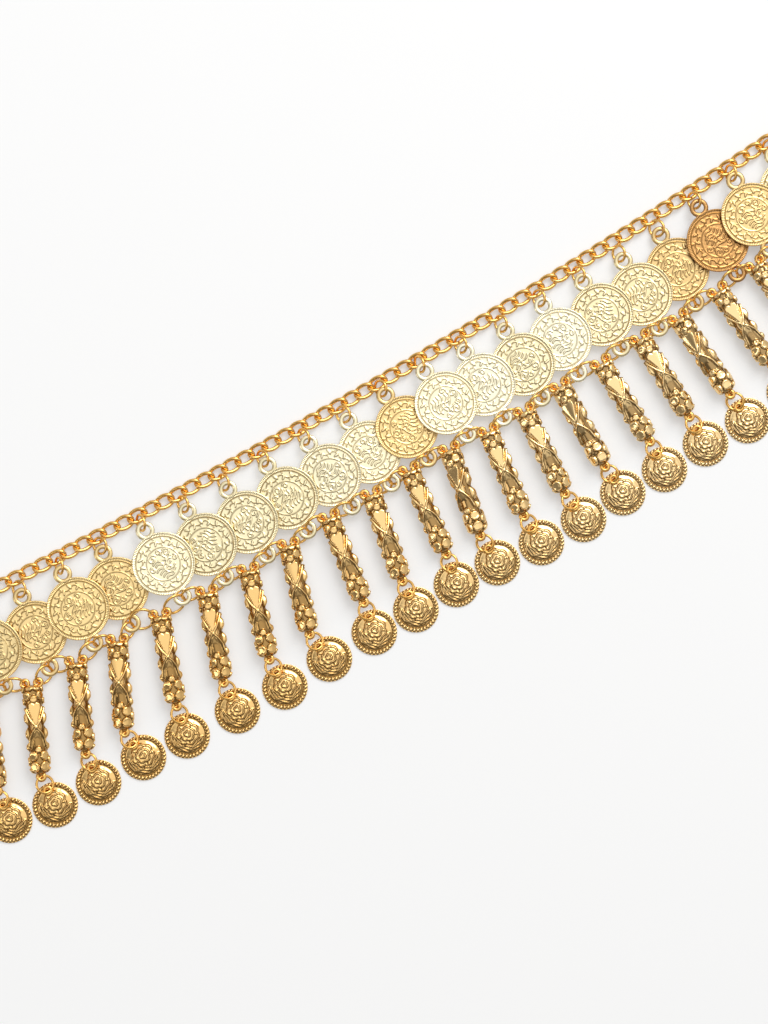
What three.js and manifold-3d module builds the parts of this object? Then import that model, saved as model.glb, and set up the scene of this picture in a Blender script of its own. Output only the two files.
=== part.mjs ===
// Coin waist chain, laid flat with its ends unfastened.
// Millimetres, +Z up. The belt runs along X, the pendants hang towards -Y,
// and everything rests on the plane z = 0.

import * as THREE from 'three';
import { mergeVertices } from 'three/addons/utils/BufferGeometryUtils.js';
import Module from 'manifold-3d';

const wasm = await Module();
wasm.setup();

// Curb chain
const LINK_PITCH = 4.38;
const LINK_WIDTH = 4.4;
const LINK_HEIGHT = 2.0;
const NECK_WIDTH = 2.6;
const NECK_HEIGHT = 1.3;
const LINKS_PER_COIN = 3;
const FIRST_COIN_LINK = 2;
const SEAM_GAP = 0.3;

// Struck coins, each with an eyelet above and below
const COIN_RADIUS = 9.0;
const COIN_THICKNESS = 0.8;
const EYELET_OFFSET = 10.8;
const EYELET_RADIUS = 2.9;
const EYELET_HOLE_RADIUS = 1.8;
const CHAIN_TO_COIN = 16.3;

// How the coins lie over each other: height of the lowest coin's middle, the step to
// the next level, and the slope of a coin that lies over one neighbour and under the other
const LOW_COIN_HEIGHT = 2.05;
const COIN_LEVEL_STEP = 0.78;
const COIN_SLOPE = 0.09;

// Jump rings, by the radius of the wire's centre line
const TOP_RING_RADIUS = 2.35;
const TOP_RING_TO_COIN = 13.0;
const SIDE_RING_SHORT_OF_MIDDLE = 0.42;
const FOOT_RING_RADIUS = 2.12;
const RING_WIRE = 0.6;
const RING_FLOOR_CLEARANCE = 0.05;
const STEEPEST_RING_SINE = 0.82;
const SIDE_RING_TILT = 52;
const RING_SEAT_HEIGHT = 1.9;

// Tubular drops, measured down from the line between their two ears. The first two
// sections are the flat lug of the ears, and the last two are the lug of the foot loop
const BAR_AXIS_HEIGHT = 2.6;
const EAR_SPACING = 3.9;
const FOOT_LOOP_DEPTH = 27.0;
const BAR_SIDES = 6;
const BAR_SECTIONS = [
  { depth: -1.1, halfWidth: 2.9, bottom: 2.0, top: 3.2 },
  { depth: 0.9, halfWidth: 3.2, bottom: 2.0, top: 3.2 },
  { depth: 1.2, halfWidth: 3.0, bottom: 0, top: 5.0 },
  { depth: 3.4, halfWidth: 3.5, bottom: 0, top: 5.7 },
  { depth: 5.0, halfWidth: 3.0, bottom: 0, top: 5.1 },
  { depth: 12.3, halfWidth: 2.75, bottom: 0, top: 4.9 },
  { depth: 18.2, halfWidth: 3.05, bottom: 0, top: 5.1 },
  { depth: 22.2, halfWidth: 3.6, bottom: 0, top: 5.6 },
  { depth: 25.2, halfWidth: 2.3, bottom: 0, top: 4.0 },
  { depth: 25.5, halfWidth: 1.4, bottom: 1.4, top: 2.6 },
  { depth: 28.3, halfWidth: 0.9, bottom: 1.4, top: 2.6 },
];

// Small domed coins at the foot of the drops
const CHARM_RADIUS = 6.5;
const CHARM_RIM_THICKNESS = 1.0;
const CHARM_HEIGHT = 2.1;
const CHARM_SIDES = 12;
const CHARM_DEPTH = 8.55;
const CHARM_HOLE_OFFSET = 6.2;
const FOOT_RING_SLOPE = 22;
const FOOT_RING_HEIGHT = 1.3;

// Facets of the round forms
const COIN_SIDES = 16;
const EYELET_SIDES = 5;
const HOLE_SIDES = 6;
const RING_SEGMENTS = 6;
const RING_SIDES = 3;

// The lie of the chain, from the hook to the end ring, in links and degrees of turn
const CHAIN_STRETCHES = [
  { name: 'chain_left_end', links: 11, turn: 3 },
  { name: 'chain_left_bend_1', links: 12, turn: 57 },
  { name: 'chain_left_bend_2', links: 12, turn: 60 },
  { name: 'chain_left_bend_3', links: 12, turn: 57 },
  { name: 'chain_front', links: 71, turn: 8.9 },
  { name: 'chain_right_bend_1', links: 12, turn: 57 },
  { name: 'chain_right_bend_2', links: 12, turn: 60 },
  { name: 'chain_right_bend_3', links: 12, turn: 57 },
  { name: 'chain_right_end', links: 20, turn: 5 },
];
const FRONT_STRETCH = 4;
const FRONT_START = { x: -137.8, y: 41.5, heading: -5.5 };

// One row for each coin from the left: how far it hangs to the side of its ring, how much
// further from the chain it hangs than most, and whether it lies over the coin on its right
const COINS = [
  { swing: -3.2, hang: 0, overNext: true },
  { swing: -3.2, hang: -0.6, overNext: true },
  { swing: -2.8, hang: 0.3, overNext: false },
  { swing: -1.8, hang: -0.3, overNext: true },
  { swing: -2.5, hang: -0.3, overNext: false },
  { swing: -0.4, hang: -0.5, overNext: true },
  { swing: -0.3, hang: 0.3, overNext: true },
  { swing: 0.0, hang: 0.3, overNext: true },
  { swing: 0.3, hang: -0.3, overNext: true },
  { swing: 1.1, hang: 0, overNext: true },
  { swing: 1.1, hang: -0.2, overNext: false },
  { swing: 0.8, hang: -1.2, overNext: false },
  { swing: 0.8, hang: -1.5, overNext: true },
  { swing: -0.2, hang: -0.5, overNext: true },
  { swing: -0.7, hang: 0.3, overNext: true },
  { swing: -1.0, hang: -0.3, overNext: true },
  { swing: -0.3, hang: -0.1, overNext: true },
  { swing: -0.8, hang: 0.9, overNext: true },
  { swing: -1.1, hang: 0.5, overNext: false },
  { swing: -0.2, hang: -0.3, overNext: false },
  { swing: -1.1, hang: -1.0, overNext: true },
  { swing: -0.8, hang: -1.0, overNext: true },
  { swing: -1.0, hang: 0, overNext: true },
];

// One row for each drop from the left: how far its ears lie below its coins' eyelets, how
// far its foot lies to the side of the middle between its two coins' rings, how far its
// small coin lies to the side of that foot, and the side on which the ring between them lies
const DROPS = [
  { below: 1.1, foot: -16.3, charm: -1.4, ringSide: 1 },
  { below: 2.9, foot: -16.5, charm: -0.8, ringSide: -1 },
  { below: 2.5, foot: -15.3, charm: -1.1, ringSide: 1 },
  { below: 2.6, foot: -15.7, charm: 1.0, ringSide: -1 },
  { below: 1.9, foot: -12.0, charm: -1.8, ringSide: -1 },
  { below: 1.8, foot: -10.1, charm: -0.7, ringSide: -1 },
  { below: 1.4, foot: -8.5, charm: -0.2, ringSide: -1 },
  { below: 0.9, foot: -8.0, charm: 1.3, ringSide: -1 },
  { below: -0.2, foot: -3.0, charm: -1.8, ringSide: -1 },
  { below: 0.0, foot: -3.5, charm: -0.8, ringSide: -1 },
  { below: -0.1, foot: -1.8, charm: -1.9, ringSide: 1 },
  { below: 1.1, foot: -3.9, charm: 0.4, ringSide: 1 },
  { below: 1.9, foot: -3.3, charm: 0.5, ringSide: -1 },
  { below: 1.3, foot: -3.0, charm: 0.9, ringSide: -1 },
  { below: 0.4, foot: -2.3, charm: 0.7, ringSide: 1 },
  { below: 1.1, foot: -0.6, charm: -0.4, ringSide: -1 },
  { below: 0.4, foot: -0.4, charm: 0.2, ringSide: -1 },
  { below: 1.0, foot: -0.1, charm: 0.6, ringSide: 1 },
  { below: 1.1, foot: 1.4, charm: 0.5, ringSide: -1 },
  { below: 1.4, foot: 2.0, charm: 0.4, ringSide: 1 },
  { below: 1.1, foot: 2.5, charm: 0.1, ringSide: -1 },
  { below: 1.1, foot: 3.0, charm: 0.3, ringSide: 1 },
];

// Fastening: a wire hook at the left end and a plain ring at the right end
const HOOK_WIRE = 1.4;
const HOOK_EYE_RADIUS = 2.1;
const HOOK_SHANK = 13.0;
const HOOK_BEND_RADIUS = 2.4;
const HOOK_RETURN = 7.0;
const HOOK_TIP_FLARE = 0.9;
const HOOK_STEPS = 24;
const END_RING_RADIUS = 4.6;
const END_RING_HOLE = 3.3;
const END_RING_THICKNESS = 1.4;
const END_RING_SIDES = 16;
const END_RING_MIDDLE = (END_RING_RADIUS + END_RING_HOLE) / 2;
const JOINING_RING_RADIUS = 2.35;

const GOLD_CHAIN = { color: 0xd49a3a, metalness: 1.0, roughness: 0.22 };
const GOLD_COIN = { color: 0xe6cf94, metalness: 1.0, roughness: 0.34 };
const GOLD_DROP = { color: 0xd8ab5c, metalness: 1.0, roughness: 0.2 };

const UP = new THREE.Vector3(0, 0, 1);
const degrees = THREE.MathUtils.degToRad;

// Closed meshes as solids that can be joined
function toSolid(geometry) {
  const plain = geometry.index ? geometry.toNonIndexed() : geometry.clone();
  plain.deleteAttribute('normal');
  plain.deleteAttribute('uv');
  const merged = mergeVertices(plain, 1e-4);
  return new wasm.Manifold(new wasm.Mesh({
    numProp: 3,
    vertProperties: new Float32Array(merged.attributes.position.array),
    triVerts: new Uint32Array(merged.index.array),
  }));
}

function toGeometry(solid) {
  const { vertProperties, triVerts } = solid.getMesh();
  const geometry = new THREE.BufferGeometry();
  geometry.setAttribute('position', new THREE.BufferAttribute(new Float32Array(vertProperties), 3));
  geometry.setIndex(new THREE.BufferAttribute(new Uint32Array(triVerts), 1));
  const faceted = geometry.toNonIndexed();
  faceted.computeVertexNormals();
  return faceted;
}

function unite(geometries) {
  return toGeometry(geometries.map(toSolid).reduce((whole, piece) => whole.add(piece)));
}

// A closed tube of polygon sections, each a list of Vector3 in the same turning sense
function loft(sections) {
  const sides = sections[0].length;
  const positions = sections.flat().flatMap((point) => [point.x, point.y, point.z]);
  const triangles = [];
  for (let row = 0; row < sections.length - 1; row += 1) {
    for (let side = 0; side < sides; side += 1) {
      const next = (side + 1) % sides;
      const a = row * sides + side;
      const b = row * sides + next;
      triangles.push(a, b, b + sides, a, b + sides, a + sides);
    }
  }
  const last = (sections.length - 1) * sides;
  for (let side = 1; side < sides - 1; side += 1) {
    triangles.push(0, side + 1, side);
    triangles.push(last, last + side, last + side + 1);
  }
  const geometry = new THREE.BufferGeometry();
  geometry.setAttribute('position', new THREE.Float32BufferAttribute(positions, 3));
  geometry.setIndex(triangles);
  return geometry;
}

function arcPoints(centreX, centreY, radius, from, to, steps) {
  return Array.from({ length: steps + 1 }, (_, step) => {
    const angle = from + ((to - from) * step) / steps;
    return new THREE.Vector2(centreX + radius * Math.cos(angle), centreY + radius * Math.sin(angle));
  });
}

function flatPlate(outline, holes, thickness) {
  const shape = new THREE.Shape(outline);
  holes.forEach((hole) => shape.holes.push(new THREE.Path(hole)));
  return new THREE.ExtrudeGeometry(shape, { depth: thickness, bevelEnabled: false });
}

// A jump ring that starts at one point, reaches towards another, and is turned by
// `tilt` degrees out of the flat about the line between them
function ringTowards(from, to, radius, tilt) {
  const along = to.clone().sub(from).normalize();
  const side = UP.clone().cross(along).normalize();
  const lift = along.clone().cross(side);
  const across = side.multiplyScalar(Math.cos(degrees(tilt)));
  across.addScaledVector(lift, Math.sin(degrees(tilt)));
  const normal = along.clone().cross(across);
  const centre = from.clone().addScaledVector(along, radius);
  const place = new THREE.Matrix4().makeBasis(along, across, normal).setPosition(centre);
  const ring = new THREE.TorusGeometry(radius, RING_WIRE / 2, RING_SIDES, RING_SEGMENTS);
  return ring.applyMatrix4(place);
}

// The steepest tilt that keeps a ring of this radius and middle height off the floor
function tiltAboveFloor(middleHeight, radius) {
  const room = middleHeight - RING_WIRE / 2 - RING_FLOOR_CLEARANCE;
  return THREE.MathUtils.radToDeg(Math.asin(Math.min(room / radius, STEEPEST_RING_SINE)));
}

// The chain's line: each stretch turns evenly and starts where the last one ends
function advance(pose, length, turn) {
  const middle = pose.heading + turn / 2;
  const chord = turn === 0 ? length : (length * Math.sin(turn / 2)) / (turn / 2);
  return {
    x: pose.x + chord * Math.cos(middle),
    y: pose.y + chord * Math.sin(middle),
    heading: pose.heading + turn,
  };
}

function stretchStarts() {
  const starts = [];
  starts[FRONT_STRETCH] = { ...FRONT_START, heading: degrees(FRONT_START.heading) };
  for (let index = FRONT_STRETCH; index < CHAIN_STRETCHES.length; index += 1) {
    const { links, turn } = CHAIN_STRETCHES[index];
    starts[index + 1] = advance(starts[index], links * LINK_PITCH, degrees(turn));
  }
  for (let index = FRONT_STRETCH - 1; index >= 0; index -= 1) {
    const { links, turn } = CHAIN_STRETCHES[index];
    starts[index] = advance(starts[index + 1], -links * LINK_PITCH, -degrees(turn));
  }
  return starts;
}

const STARTS = stretchStarts();

function onStretch(index, distance) {
  const { links, turn } = CHAIN_STRETCHES[index];
  const length = links * LINK_PITCH;
  return advance(STARTS[index], distance, (degrees(turn) * distance) / length);
}

// A stretch of chain: narrow necks between wide links
function chainSection(pose, width, height) {
  const across = new THREE.Vector3(-Math.sin(pose.heading), Math.cos(pose.heading), 0);
  const middle = new THREE.Vector3(pose.x, pose.y, 0);
  const right = middle.clone().addScaledVector(across, -width / 2);
  const left = middle.clone().addScaledVector(across, width / 2);
  const lift = new THREE.Vector3(0, 0, height);
  return [right, left, left.clone().add(lift), right.clone().add(lift)];
}

function chainStretch(index) {
  const { links } = CHAIN_STRETCHES[index];
  const sections = [];
  for (let link = 0; link <= links; link += 1) {
    const inset = link === 0 ? SEAM_GAP / 2 : link === links ? -SEAM_GAP / 2 : 0;
    const neck = onStretch(index, link * LINK_PITCH + inset);
    sections.push(chainSection(neck, NECK_WIDTH, NECK_HEIGHT));
    if (link < links) {
      const middle = onStretch(index, (link + 0.5) * LINK_PITCH);
      sections.push(chainSection(middle, LINK_WIDTH, LINK_HEIGHT));
    }
  }
  return loft(sections);
}

// Where each coin lies, worked out from its ring on the chain
function coinPlaces() {
  return COINS.map((coin, index) => {
    const distance = (FIRST_COIN_LINK + LINKS_PER_COIN * index + 0.5) * LINK_PITCH;
    const link = onStretch(FRONT_STRETCH, distance);
    const reach = CHAIN_TO_COIN + coin.hang;
    const lean = Math.asin(-coin.swing / reach);
    const down = new THREE.Vector3(-Math.sin(lean), -Math.cos(lean), 0);
    const overPrevious = index > 0 && !COINS[index - 1].overNext;
    const overNext = index < COINS.length - 1 && coin.overNext;
    const level = Number(overPrevious) + Number(overNext);
    const height = LOW_COIN_HEIGHT + COIN_LEVEL_STEP * level;
    const centre = new THREE.Vector3(link.x, link.y, 0).addScaledVector(down, reach);
    centre.z = height;
    const slope = COIN_SLOPE * (Number(overNext) - Number(overPrevious));
    return { link, lean, down, centre, slope };
  });
}

const PLACES = coinPlaces();

function eyeletCentre(place) {
  return place.centre.clone().addScaledVector(place.down, EYELET_OFFSET);
}

// The coin's outline, round the disc and each eyelet in turn
function coinOutline() {
  const meet = Math.acos(
    (COIN_RADIUS ** 2 + EYELET_OFFSET ** 2 - EYELET_RADIUS ** 2) / (2 * COIN_RADIUS * EYELET_OFFSET),
  );
  const meetX = COIN_RADIUS * Math.sin(meet);
  const meetY = COIN_RADIUS * Math.cos(meet) - EYELET_OFFSET;
  const start = Math.atan2(meetY, meetX);
  const sideSteps = COIN_SIDES / 2 - 1;
  const right = Math.PI / 2 - meet;
  return [
    ...arcPoints(0, 0, COIN_RADIUS, -right, right, sideSteps).slice(0, -1),
    ...arcPoints(0, EYELET_OFFSET, EYELET_RADIUS, start, Math.PI - start, EYELET_SIDES).slice(0, -1),
    ...arcPoints(0, 0, COIN_RADIUS, Math.PI - right, Math.PI + right, sideSteps).slice(0, -1),
    ...arcPoints(0, -EYELET_OFFSET, EYELET_RADIUS, Math.PI + start, 2 * Math.PI - start, EYELET_SIDES)
      .slice(0, -1),
  ];
}

function eyeletHole(y) {
  return arcPoints(0, y, EYELET_HOLE_RADIUS, 0, 2 * Math.PI, HOLE_SIDES).slice(0, -1);
}

function coinGeometry() {
  const holes = [eyeletHole(EYELET_OFFSET), eyeletHole(-EYELET_OFFSET)];
  return flatPlate(coinOutline(), holes, COIN_THICKNESS).translate(0, 0, -COIN_THICKNESS / 2);
}

// The ring that hangs a coin from its link, soldered to the chain
function topRing(place) {
  const upper = place.centre.clone().addScaledVector(place.down, -TOP_RING_TO_COIN - TOP_RING_RADIUS);
  const lower = place.centre.clone().addScaledVector(place.down, -TOP_RING_TO_COIN + TOP_RING_RADIUS);
  upper.z = RING_SEAT_HEIGHT;
  const tilt = tiltAboveFloor((upper.z + lower.z) / 2, TOP_RING_RADIUS);
  return ringTowards(upper, lower, TOP_RING_RADIUS, tilt);
}

// Where each drop lies, between the lower eyelets of its two coins
function dropPlaces() {
  return DROPS.map((drop, index) => {
    const left = PLACES[index];
    const right = PLACES[index + 1];
    const leftEyelet = eyeletCentre(left);
    const rightEyelet = eyeletCentre(right);
    const ears = leftEyelet.clone().add(rightEyelet).multiplyScalar(0.5);
    ears.y -= drop.below;
    ears.z = 0;
    const footX = (left.link.x + right.link.x) / 2 + drop.foot;
    const lean = Math.asin((ears.x - footX) / FOOT_LOOP_DEPTH);
    const charmLean = Math.asin(-drop.charm / CHARM_DEPTH) - lean;
    return { ...drop, ears, lean, charmLean, leftEyelet, rightEyelet };
  });
}

// Six-sided: widest at half its height, with a flat top and a flat underside
function barSection({ depth, halfWidth, bottom, top }) {
  return Array.from({ length: BAR_SIDES }, (_, side) => {
    const angle = (2 * Math.PI * side) / BAR_SIDES;
    const rise = Math.round(Math.sin(angle));
    const height = (bottom + top) / 2 + (rise * (top - bottom)) / 2;
    return new THREE.Vector3(halfWidth * Math.cos(angle), -depth, height);
  });
}

function charmGeometry() {
  const profile = [
    new THREE.Vector2(0, 0),
    new THREE.Vector2(CHARM_RADIUS, 0),
    new THREE.Vector2(CHARM_RADIUS, CHARM_RIM_THICKNESS),
    new THREE.Vector2(0, CHARM_HEIGHT),
  ];
  return new THREE.LatheGeometry(profile, CHARM_SIDES).rotateX(Math.PI / 2);
}

// A drop in its own frame: the ears' middle at the origin, the tube towards -Y
function dropGeometry(place) {
  const pieces = [loft(BAR_SECTIONS.map(barSection))];
  const toOwnFrame = (point) => {
    const moved = point.clone().sub(place.ears);
    return moved.applyAxisAngle(UP, place.lean);
  };
  [
    { side: -1, eyelet: toOwnFrame(place.leftEyelet) },
    { side: 1, eyelet: toOwnFrame(place.rightEyelet) },
  ].forEach(({ side, eyelet }) => {
    const ear = new THREE.Vector3((side * EAR_SPACING) / 2, 0, BAR_AXIS_HEIGHT);
    const radius = (ear.distanceTo(eyelet) - SIDE_RING_SHORT_OF_MIDDLE) / 2;
    const tilt = Math.min(SIDE_RING_TILT, tiltAboveFloor((ear.z + eyelet.z) / 2, radius));
    pieces.push(ringTowards(ear, eyelet, radius, side > 0 ? tilt : 180 - tilt));
  });

  const down = new THREE.Vector3(-Math.sin(place.charmLean), -Math.cos(place.charmLean), 0);
  const foot = new THREE.Vector3(0, -FOOT_LOOP_DEPTH, 0);
  const charm = foot.clone().addScaledVector(down, CHARM_DEPTH);
  const hole = charm.clone().addScaledVector(down, -CHARM_HOLE_OFFSET);
  pieces.push(charmGeometry().translate(charm.x, charm.y, 0));

  const halfChord = (CHARM_DEPTH - CHARM_HOLE_OFFSET) / 2;
  const bulge = Math.sqrt(FOOT_RING_RADIUS ** 2 - halfChord ** 2);
  const aside = new THREE.Vector3(-down.y, down.x, 0).multiplyScalar(place.ringSide);
  const middle = foot.clone().add(hole).multiplyScalar(0.5).addScaledVector(aside, bulge);
  middle.z = FOOT_RING_HEIGHT;
  const sloping = down.clone().multiplyScalar(Math.cos(degrees(FOOT_RING_SLOPE)));
  sloping.z = -Math.sin(degrees(FOOT_RING_SLOPE));
  const start = middle.clone().addScaledVector(sloping, -FOOT_RING_RADIUS);
  pieces.push(ringTowards(start, middle, FOOT_RING_RADIUS, 0));
  return unite(pieces);
}

// A flat ring between the chain's end and a fastening, reaching from x back towards the chain
function joiningRing(x, height) {
  const end = new THREE.Vector3(x, 0, height);
  const start = new THREE.Vector3(x - 2 * JOINING_RING_RADIUS, 0, height);
  return ringTowards(start, end, JOINING_RING_RADIUS, 0);
}

// The wire hook: an eye, a straight shank, and a bend with a flared tip
function hookGeometry() {
  const eyeSteps = 9;
  const bendSteps = 6;
  const eyeGap = degrees(60);
  const points = [];
  for (let step = 0; step <= eyeSteps; step += 1) {
    const angle = eyeGap + ((2 * Math.PI - eyeGap) * step) / eyeSteps;
    points.push([HOOK_EYE_RADIUS * Math.cos(angle), HOOK_EYE_RADIUS * Math.sin(angle)]);
  }
  const shankEnd = HOOK_EYE_RADIUS + HOOK_SHANK;
  points.push([HOOK_EYE_RADIUS + HOOK_SHANK / 2, 0]);
  for (let step = 0; step <= bendSteps; step += 1) {
    const angle = (Math.PI * step) / bendSteps;
    const x = shankEnd + HOOK_BEND_RADIUS * Math.sin(angle);
    points.push([x, HOOK_BEND_RADIUS * (1 - Math.cos(angle))]);
  }
  points.push([shankEnd - HOOK_RETURN * 0.7, 2 * HOOK_BEND_RADIUS]);
  points.push([shankEnd - HOOK_RETURN, 2 * HOOK_BEND_RADIUS + HOOK_TIP_FLARE]);
  const height = HOOK_WIRE / 2;
  const path = new THREE.CatmullRomCurve3(points.map(([x, y]) => new THREE.Vector3(x, y, height)));
  const section = new THREE.Shape(arcPoints(0, 0, HOOK_WIRE / 2, 0, 2 * Math.PI, 6).slice(0, -1));
  const wire = new THREE.ExtrudeGeometry(section, { extrudePath: path, steps: HOOK_STEPS });
  return unite([wire, joiningRing(-HOOK_EYE_RADIUS, height)]);
}

function endRingGeometry() {
  const round = (radius) => arcPoints(0, 0, radius, 0, 2 * Math.PI, END_RING_SIDES).slice(0, -1);
  const ring = flatPlate(round(END_RING_RADIUS), [round(END_RING_HOLE)], END_RING_THICKNESS);
  return unite([ring, joiningRing(-END_RING_MIDDLE, END_RING_THICKNESS / 2)]);
}

const model = new THREE.Group();

function addPiece(name, geometry, finish) {
  const mesh = new THREE.Mesh(geometry, new THREE.MeshStandardMaterial(finish));
  mesh.name = name;
  model.add(mesh);
  return mesh;
}

function numbered(name, index) {
  return `${name}_${String(index + 1).padStart(2, '0')}`;
}

PLACES.forEach((place, index) => {
  const coin = addPiece(numbered('coin', index), coinGeometry(), GOLD_COIN);
  coin.position.copy(place.centre);
  coin.rotation.order = 'ZYX';
  coin.rotation.set(0, -Math.atan(place.slope), -place.lean);
});

dropPlaces().forEach((place, index) => {
  const drop = addPiece(numbered('drop', index), dropGeometry(place), GOLD_DROP);
  drop.position.copy(place.ears);
  drop.rotation.z = -place.lean;
});

CHAIN_STRETCHES.forEach(({ name }, index) => {
  const pieces = [chainStretch(index)];
  if (index === FRONT_STRETCH) {
    pieces.push(...PLACES.map(topRing));
  }
  addPiece(name, unite(pieces), GOLD_CHAIN);
});

const RING_REACH = (SEAM_GAP + RING_WIRE) / 2 + 2 * JOINING_RING_RADIUS;
const leftEnd = advance(STARTS[0], -RING_REACH - HOOK_EYE_RADIUS, 0);
const hook = addPiece('hook', hookGeometry(), GOLD_CHAIN);
hook.position.set(leftEnd.x, leftEnd.y, 0);
hook.rotation.z = STARTS[0].heading + Math.PI;

const rightEnd = advance(STARTS[CHAIN_STRETCHES.length], RING_REACH + END_RING_MIDDLE, 0);
const endRing = addPiece('end_ring', endRingGeometry(), GOLD_CHAIN);
endRing.position.set(rightEnd.x, rightEnd.y, 0);
endRing.rotation.z = rightEnd.heading;

// The origin is the middle of the laid-out chain, on the surface that it lies on
model.updateMatrixWorld(true);
const bounds = new THREE.Box3().setFromObject(model, true);
const middle = bounds.getCenter(new THREE.Vector3());
model.position.set(-middle.x, -middle.y, 0);

export default model;
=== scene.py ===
"""Coin waist chain laid flat: struck coins, patterned drops and small domed coins on a curb chain.

Sizes are in millimetres in the belt's own layout, with the belt along X and the drops towards -Y.
They are moved to the frame and turned into metres where a mesh is made.
"""

import copy
import math

import bpy
import numpy as np
from mathutils import Matrix, Vector


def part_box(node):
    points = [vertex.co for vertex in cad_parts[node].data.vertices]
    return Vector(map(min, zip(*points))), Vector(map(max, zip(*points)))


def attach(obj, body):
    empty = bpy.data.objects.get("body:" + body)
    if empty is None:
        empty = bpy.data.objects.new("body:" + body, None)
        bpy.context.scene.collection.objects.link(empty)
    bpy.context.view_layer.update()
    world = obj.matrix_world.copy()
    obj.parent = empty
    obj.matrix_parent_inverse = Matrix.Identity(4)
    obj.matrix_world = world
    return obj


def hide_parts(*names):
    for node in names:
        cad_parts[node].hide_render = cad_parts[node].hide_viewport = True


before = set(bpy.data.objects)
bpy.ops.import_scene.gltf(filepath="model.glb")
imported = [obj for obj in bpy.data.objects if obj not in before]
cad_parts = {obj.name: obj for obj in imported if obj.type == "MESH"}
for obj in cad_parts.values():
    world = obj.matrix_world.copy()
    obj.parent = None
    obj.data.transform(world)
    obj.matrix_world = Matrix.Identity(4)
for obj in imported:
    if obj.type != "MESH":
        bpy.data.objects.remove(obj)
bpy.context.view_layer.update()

METRES = 0.001
FAR_FROM_LINES = 1.0

# Curb chain
LINK_PITCH = 4.38
LINKS_PER_COIN = 3
FIRST_COIN_LINK = 2
LINK_LENGTH = 6.6
LINK_WIDTH = 4.5
LINK_WIRE = 1.12
LINK_TWIST = 0.56
CHAIN_HEIGHT = 1.13

# Struck coins
COIN_RADIUS = 9.0
COIN_THICKNESS = 0.5
EYELET_OFFSET = 10.8
EYELET_RADIUS = 2.75
EYELET_HOLE = 1.4
CHAIN_TO_COIN = 16.3
LOW_COIN_HEIGHT = 2.05
COIN_LEVEL_STEP = 0.78
COIN_SLOPE = 0.09
COIN_CELLS = 78
# The edge from the face round to the back: share of the radius, and level
COIN_EDGE = [(1.012, 0.1), (1.01, -0.1), (0.985, -COIN_THICKNESS / 2), (0.95, -COIN_THICKNESS / 2)]
COIN_PATTERN_TURNS = (0, 130, 250, 65, 195)

# Jump rings; the steepest is given by the sine of its tilt
RING_WIRE = 0.8
RING_ABOVE_FLOOR = 0.05
STEEPEST_RING = 0.82
TOP_RING_RADIUS = 2.35
TOP_RING_TO_COIN = 13.25
TOP_RING_SEAT = 1.45
SIDE_RING_BEYOND_HOLES = 0.1
SIDE_RING_TILT = 50
FOOT_RING_BEYOND_LOOPS = 0.5
FOOT_RING_TILT = 24
FOOT_RING_TOP = 1.9
FOOT_RING_BOTTOM = 1.7

# Drops
BAR_AXIS_HEIGHT = 2.75
EAR_SPACING = 3.9
EAR_RISE = 0.6
EAR_HEIGHT = 2.9
EAR_RADIUS = 1.05
EAR_WIRE_RADIUS = 0.55
FOOT_LOOP_DEPTH = 27.0
FOOT_LOOP_HEIGHT = 2.3
FOOT_LOOP_RADIUS = 1.0
FOOT_LOOP_WIRE_RADIUS = 0.6
BAR_START = -0.1
BAR_END = 25.7

# Small domed coins
CHARM_RADIUS = 6.5
CHARM_DEPTH = 8.55
CHARM_HOLE_OFFSET = 4.7
CHARM_LOOP_HEIGHT = 1.3
CHARM_CELLS = 52
CHARM_EDGE = [(1.012, 0.35), (1.012, 0.18), (1.0, 0.03), (0.95, 0.0)]
CHARM_BEADS = 36
CHARM_BEAD_RING = 5.92
CHARM_BEAD_SIZE = (0.42, 0.5)
CHARM_DOME = 4.9
CHARM_BLOSSOM = (0.4, 0.6)
# The blossom's rings of petals: border, depth and number of scallops, their turn, and the step up
CHARM_PETALS = [
    (2.9, 0.5, 7, 0.4, 0.32), (1.8, 0.42, 5, 1.3, 0.28), (0.75, 0.3, 3, 0.2, 0.28),
]

# The drops' gold is deep at the left end, pales over some drops, and is pale from one drop on,
# counted from 0; the deeper gold is painted shade that darkens the left end
FIRST_PALE_DROP = 14
DROPS_TO_PALE = 8

# Fastening
HOOK_WIRE = 1.3
HOOK_EYE_RADIUS = 2.1
HOOK_EYE_ANGLES = (math.radians(40), 2 * math.pi - 0.2)
HOOK_SHANK_GAPS = (1.2, 0.6)
HOOK_SHANK = 13.0
HOOK_BEND_RADIUS = 2.4
HOOK_RETURN = 7.0
HOOK_TIP_FLARE = 0.9
END_RING_MIDDLE = 3.95
END_RING_WIRE = 1.35
SEAM_GAP = 0.3
JOINING_REACH = 2.35
JOINING_WIRE_RADIUS = 0.36
JOINING_HEIGHT = 1.5
# The joining rings' radii, and how far their middles lie beyond the eye or the end ring's middle
HOOK_JOINING_RING = (3.2, 2.2)
END_JOINING_RING = (3.1, 2.1)

# The lie of the chain: name, links and degrees of turn of each stretch
STRETCHES = [
    ("chain_left_end", 11, 3),
    ("chain_left_bend_1", 12, 57),
    ("chain_left_bend_2", 12, 60),
    ("chain_left_bend_3", 12, 57),
    ("chain_front", 71, 8.9),
    ("chain_right_bend_1", 12, 57),
    ("chain_right_bend_2", 12, 60),
    ("chain_right_bend_3", 12, 57),
    ("chain_right_end", 20, 5),
]
FRONT = 4
FRONT_START = (-137.8, 41.5, math.radians(-5.5))
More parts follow.
